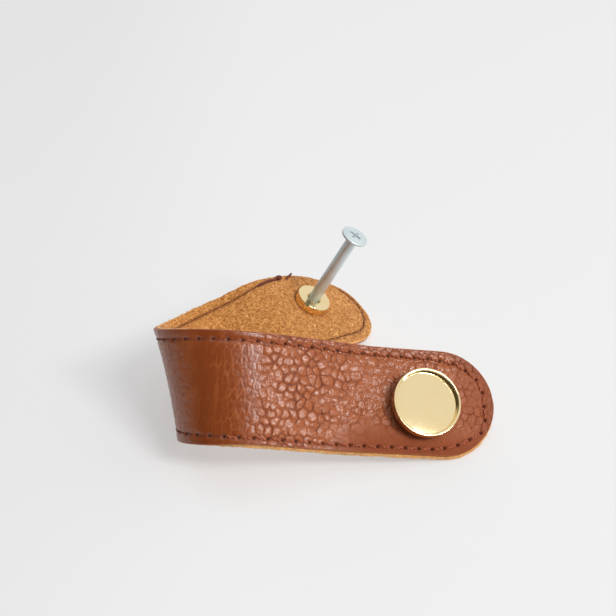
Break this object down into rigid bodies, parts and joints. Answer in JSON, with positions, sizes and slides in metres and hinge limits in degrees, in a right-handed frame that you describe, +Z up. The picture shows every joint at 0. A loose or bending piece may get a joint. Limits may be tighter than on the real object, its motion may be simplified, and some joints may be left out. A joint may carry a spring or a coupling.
{
  "type": "leather strap pull",
  "caption": "Stitched leather strap folded into an open loop, with a dished brass knob on its front leaf and a slotted brass collar and machine screw on its back leaf.",
  "frame": {"origin": "on the surface the pull rests on, below the middle of its box", "axes": "+Z up from that surface, +X to the right along the front leaf, +Y away from the front leaf towards the back tip"},
  "size_m": [0.0994, 0.0858, 0.0412],
  "materials": {
    "grain_leather": "pebbled grain, soft sheen",
    "suede_leather": "matt suede",
    "red_thread": "waxed thread",
    "polished_brass": "polished",
    "zinc_steel": "zinc plated"
  },
  "bodies": {
    "root": {"strap_face": "grain_leather", "strap_lining": "suede_leather", "stitching_outside": "red_thread", "stitching_inside": "red_thread", "knob": "polished_brass", "collar": "polished_brass", "screw": "zinc_steel"}
  },
  "joints": []
}
